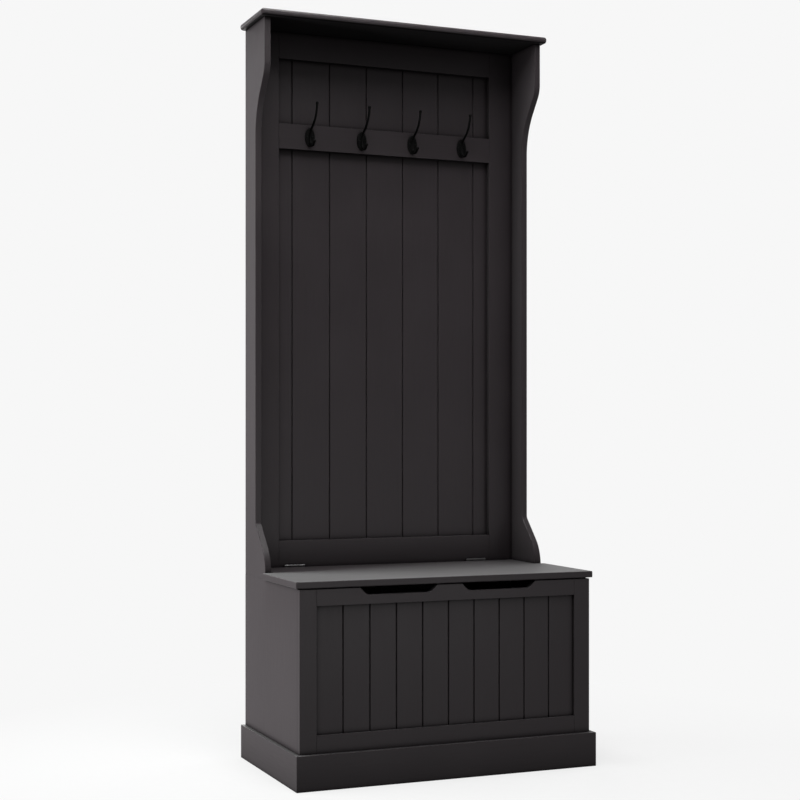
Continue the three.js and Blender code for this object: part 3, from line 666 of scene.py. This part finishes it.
def rod_rings(centre):
    """Rings round a hook's bent rod, which ends in a round knob at each tip."""
    across = Vector((1, 0, 0))
    bends = [centre + Vector((0, -forward * MM, up * MM)) for forward, up in HOOK_LINE]
    line = catmull_rom(bends, STEPS_PER_SPAN)
    tangents = [(after - before).normalized() for before, after in zip(line, line[1:])]
    tangents.append(tangents[-1])
    neck_turn = math.acos(HOOK_NECK_RADIUS / HOOK_TIP_RADIUS)
    clear = HOOK_TIP_RADIUS * math.sin(neck_turn) + HOOK_TIP_GAP
    between_tips = [
        station for station in rod_stations(line, tangents)
        if (station[0] - line[0]).length > clear and (station[0] - line[-1]).length > clear
    ]
    opening = tip_stations(line[0], tangents[0], -1, neck_turn)[::-1]
    closing = tip_stations(line[-1], tangents[-1], 1, neck_turn)
    return [
        circle(point, across, tangent.cross(across), radius, ROD_SIDES)
        for point, tangent, radius in (*opening, *between_tips, *closing)
    ]


def plate_rings(centre):
    """Rings of a hook's oval plate, from its flat back to its domed front."""
    rings = [[centre]]
    for inset, forward in HOOK_PLATE_PROFILE:
        half_width = HOOK_PLATE_HALF_WIDTH - inset * MM
        half_height = HOOK_PLATE_HALF_HEIGHT - inset * MM
        front = centre + Vector((0, -forward * MM, 0))
        rings.append([
            front + Vector((half_width * math.cos(turn), 0, half_height * math.sin(turn)))
            for turn in round_turns(PLATE_SIDES)
        ])
    return [*rings, [front]]


def cast_hook(name):
    """A cast coat hook: its plate and rod are made as two closed skins and melted into one."""
    low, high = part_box(name)
    screw_low, screw_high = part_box(name + "_left_screw")
    centre = Vector(((low.x + high.x) / 2, high.y, (screw_low.z + screw_high.z) / 2))
    mesh = bmesh.new()
    add_rings(mesh, rod_rings(centre))
    add_rings(mesh, plate_rings(centre))
    hook = piece_from(mesh, name + "_cast", iron, "cabinet", "black_iron", name)
    melt = hook.modifiers.new("melt_together", "REMESH")
    melt.mode = "VOXEL"
    melt.voxel_size = HOOK_VOXEL
    melt.use_smooth_shade = True
    relax = hook.modifiers.new("relax", "SMOOTH")
    relax.factor = HOOK_RELAX_SHARE
    relax.iterations = HOOK_RELAX_ROUNDS
    bake_modifiers(hook)


# ---------------------------------------------------------------- screws

def head_profile(radius, shank, domed):
    """Half the outline of a screw's head, from its top: (radius, distance along the axis)."""
    if not domed:
        return [
            (0, 0),
            (radius * FLAT_HEAD_SHARE, 0),
            (radius, FLAT_HEAD_ARRIS),
            (shank, FLAT_HEAD_DEPTH),
        ]
    slopes = [math.pi / 2 * step / DOME_STEPS for step in range(DOME_STEPS + 1)]
    dome = [(math.sin(slope) * radius, (1 - math.cos(slope)) * DOME_HEIGHT) for slope in slopes]
    return [*dome, (radius, DOME_DEPTH), (shank, DOME_DEPTH)]


def cross_outline(reach, half_width):
    """The twelve corners of a cross, going round it."""
    corners = []
    for cos, sin in ((1, 0), (0, 1), (-1, 0), (0, -1)):
        for x, y in ((reach, -half_width), (reach, half_width), (half_width, half_width)):
            corners.append((x * cos - y * sin, x * sin + y * cos))
    return corners


def cross_recess(origin, axis, across, reach):
    """A tool that cuts a tapered cross into a screw's head."""
    mesh = bmesh.new()
    up = axis.cross(across)
    half_width = reach * SLOT_HALF_WIDTH
    ends = []
    for along, end_reach in ((-RECESS_DEPTH, reach), (RECESS_DEPTH, reach * SLOT_TAPER)):
        centre = origin + axis * along
        corners = [centre + across * x + up * y for x, y in cross_outline(end_reach, half_width)]
        ends.append([mesh.verts.new(corner) for corner in corners])
    outer, inner = ends
    mesh.faces.new(outer)
    mesh.faces.new(inner)
    for index in range(len(outer)):
        mesh.faces.new((outer[index - 1], outer[index], inner[index], inner[index - 1]))
    bmesh.ops.recalc_face_normals(mesh, faces=mesh.faces)
    data = bpy.data.meshes.new("cross_recess")
    mesh.to_mesh(data)
    mesh.free()
    tool = bpy.data.objects.new("cross_recess", data)
    bpy.context.scene.collection.objects.link(tool)
    return tool


def add_screw(node, material, body, slot, facing, domed, turn):
    """A cross-head screw that fills the same room as its CAD node. Facing is the head's side along Y, and
    turn is the angle that the recess was left at."""
    low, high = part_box(node)
    radius = (high.x - low.x) / 2
    length = high.y - low.y
    axis = Vector((0, -facing, 0))
    origin = Vector(((low.x + high.x) / 2, low.y if facing < 0 else high.y, (low.z + high.z) / 2))
    shank = radius * SHANK_SHARE
    profile = [*head_profile(radius, shank, domed), (shank, length - shank), (0, length)]
    across = Vector((1, 0, 0))
    up = axis.cross(across)
    mesh = bmesh.new()
    add_rings(mesh, [circle(origin + axis * along, across, up, wide, SCREW_SIDES) for wide, along in profile])
    screw = piece_from(mesh, node + "_cross_head", material, body, slot, node)
    tool = cross_recess(origin, axis, Vector((math.cos(turn), 0, math.sin(turn))), radius * RECESS_SHARE)
    cut = screw.modifiers.new("cross_recess", "BOOLEAN")
    cut.operation = "DIFFERENCE"
    cut.solver = "EXACT"
    cut.object = tool
    bake_modifiers(screw)
    bpy.data.objects.remove(tool)


def add_screws():
    """All the screws. Each recess stands at its own angle, midway between two of the head's facet edges."""
    names = sorted(name for name in nodes if name.endswith("_screw"))
    for index, name in enumerate(names):
        turn = math.tau / SCREW_SIDES * (RECESS_TURN_STEPS * index + 0.5)
        if name.startswith("coat_hook"):
            add_screw(name, iron, "cabinet", "black_iron", -1, True, turn)
        elif "_hinge_frame_" in name:
            add_screw(name, steel, "cabinet", "hinge_steel", -1, False, turn)
        else:
            add_screw(name, steel, "lid", "hinge_steel", 1, False, turn)


# ---------------------------------------------------------------- stage, lights and camera

def pale_floor():
    """A pale floor with a soft contact shadow. It fades into an even glow before its rim, so that no horizon
    shows, and it throws less light back on the piece than it shows."""
    recipe = Recipe("pale_floor")
    plain = recipe.position()
    speck = recipe.noise(plain, FLOOR_SPECKS, detail=3.0)
    distance = recipe.add("VectorMath", {0: plain}, operation="LENGTH").outputs["Value"]
    far = recipe.remap(distance, *FLOOR_FADE)
    mottled = recipe.blend(speck, grey(FLOOR_MATT - FLOOR_MOTTLE), grey(FLOOR_MATT + FLOOR_MOTTLE))
    matt = recipe.add("BsdfDiffuse", {"Color": mottled})
    near_glow = recipe.add("Emission", {"Color": grey(FLOOR_GLOW)})
    near = recipe.add("AddShader", {0: matt.outputs[0], 1: near_glow.outputs[0]})
    far_glow = recipe.add("Emission", {"Color": grey(PALE)})
    shown = recipe.add("MixShader", {0: far, 1: near.outputs[0], 2: far_glow.outputs[0]})
    path = recipe.add("LightPath")
    bounce = recipe.add("BsdfDiffuse", {"Color": grey(FLOOR_BOUNCE)})
    gleam = recipe.math("MULTIPLY", path.outputs["Is Glossy Ray"], FLOOR_REFLECTED)
    reflected = recipe.add("Emission", {"Strength": gleam})
    thrown = recipe.add("AddShader", {0: bounce.outputs[0], 1: reflected.outputs[0]})
    seen = path.outputs["Is Camera Ray"]
    mix = recipe.add("MixShader", {0: seen, 1: thrown.outputs[0], 2: shown.outputs[0]})
    recipe.add("OutputMaterial", {"Surface": mix.outputs[0]})
    return recipe.material


def add_floor():
    mesh = bmesh.new()
    bmesh.ops.create_circle(mesh, cap_ends=True, segments=FLOOR_SIDES, radius=FLOOR_RADIUS)
    data = bpy.data.meshes.new("floor")
    mesh.to_mesh(data)
    mesh.free()
    data.materials.append(pale_floor())
    floor = bpy.data.objects.new("floor", data)
    floor.location.z = -FLOOR_DROP
    bpy.context.scene.collection.objects.link(floor)


def add_softbox(name, place, target, width, height, power):
    """A soft rectangular light that the camera doesn't see."""
    light = bpy.data.lights.new(name, "AREA")
    light.shape = "RECTANGLE"
    light.size = width
    light.size_y = height
    light.energy = power
    lamp = bpy.data.objects.new(name, light)
    lamp.location = place
    lamp.rotation_euler = (Vector(target) - Vector(place)).to_track_quat("-Z", "Y").to_euler()
    lamp.visible_camera = False
    bpy.context.scene.collection.objects.link(lamp)
    if name == KEY:
        light.color = KEY_TINT
        lamp.visible_glossy = False


def add_lights():
    for name, settings in SOFTBOXES.items():
        add_softbox(name, *settings)


def add_world():
    """An even pale surround for the camera, which gives the piece a dim light and brighter reflections."""
    world = bpy.data.worlds.new("studio")
    world.use_nodes = True
    tree = world.node_tree
    tree.nodes.clear()
    path = add_node(tree, "ShaderNodeLightPath").outputs
    inputs = {"Value": path["Is Glossy Ray"], "To Min": AMBIENT, "To Max": REFLECTED}
    strength = add_node(tree, "ShaderNodeMapRange", inputs).outputs["Result"]
    lighting = add_node(tree, "ShaderNodeBackground", {"Color": grey(1.0), "Strength": strength})
    shown = add_node(tree, "ShaderNodeBackground", {"Color": grey(PALE)})
    inputs = {0: path["Is Camera Ray"], 1: lighting.outputs[0], 2: shown.outputs[0]}
    mix = add_node(tree, "ShaderNodeMixShader", inputs)
    add_node(tree, "ShaderNodeOutputWorld", {0: mix.outputs[0]})
    bpy.context.scene.world = world


def add_camera():
    data = bpy.data.cameras.new("camera")
    data.lens = CAMERA_LENS
    data.sensor_width = CAMERA_SENSOR
    data.shift_y = CAMERA_SHIFT_Y
    camera = bpy.data.objects.new("camera", data)
    camera.location = CAMERA_PLACE
    camera.rotation_euler = (math.pi / 2, 0, -CAMERA_HEADING)
    bpy.context.scene.collection.objects.link(camera)
    bpy.context.scene.camera = camera


finish_boards()
finish_hinges()
finish_dowels()
for number in range(1, HOOK_COUNT + 1):
    cast_hook(f"coat_hook_{number}")
add_screws()
add_floor()
add_lights()
add_world()
add_camera()
bpy.context.scene.view_settings.view_transform = "Standard"
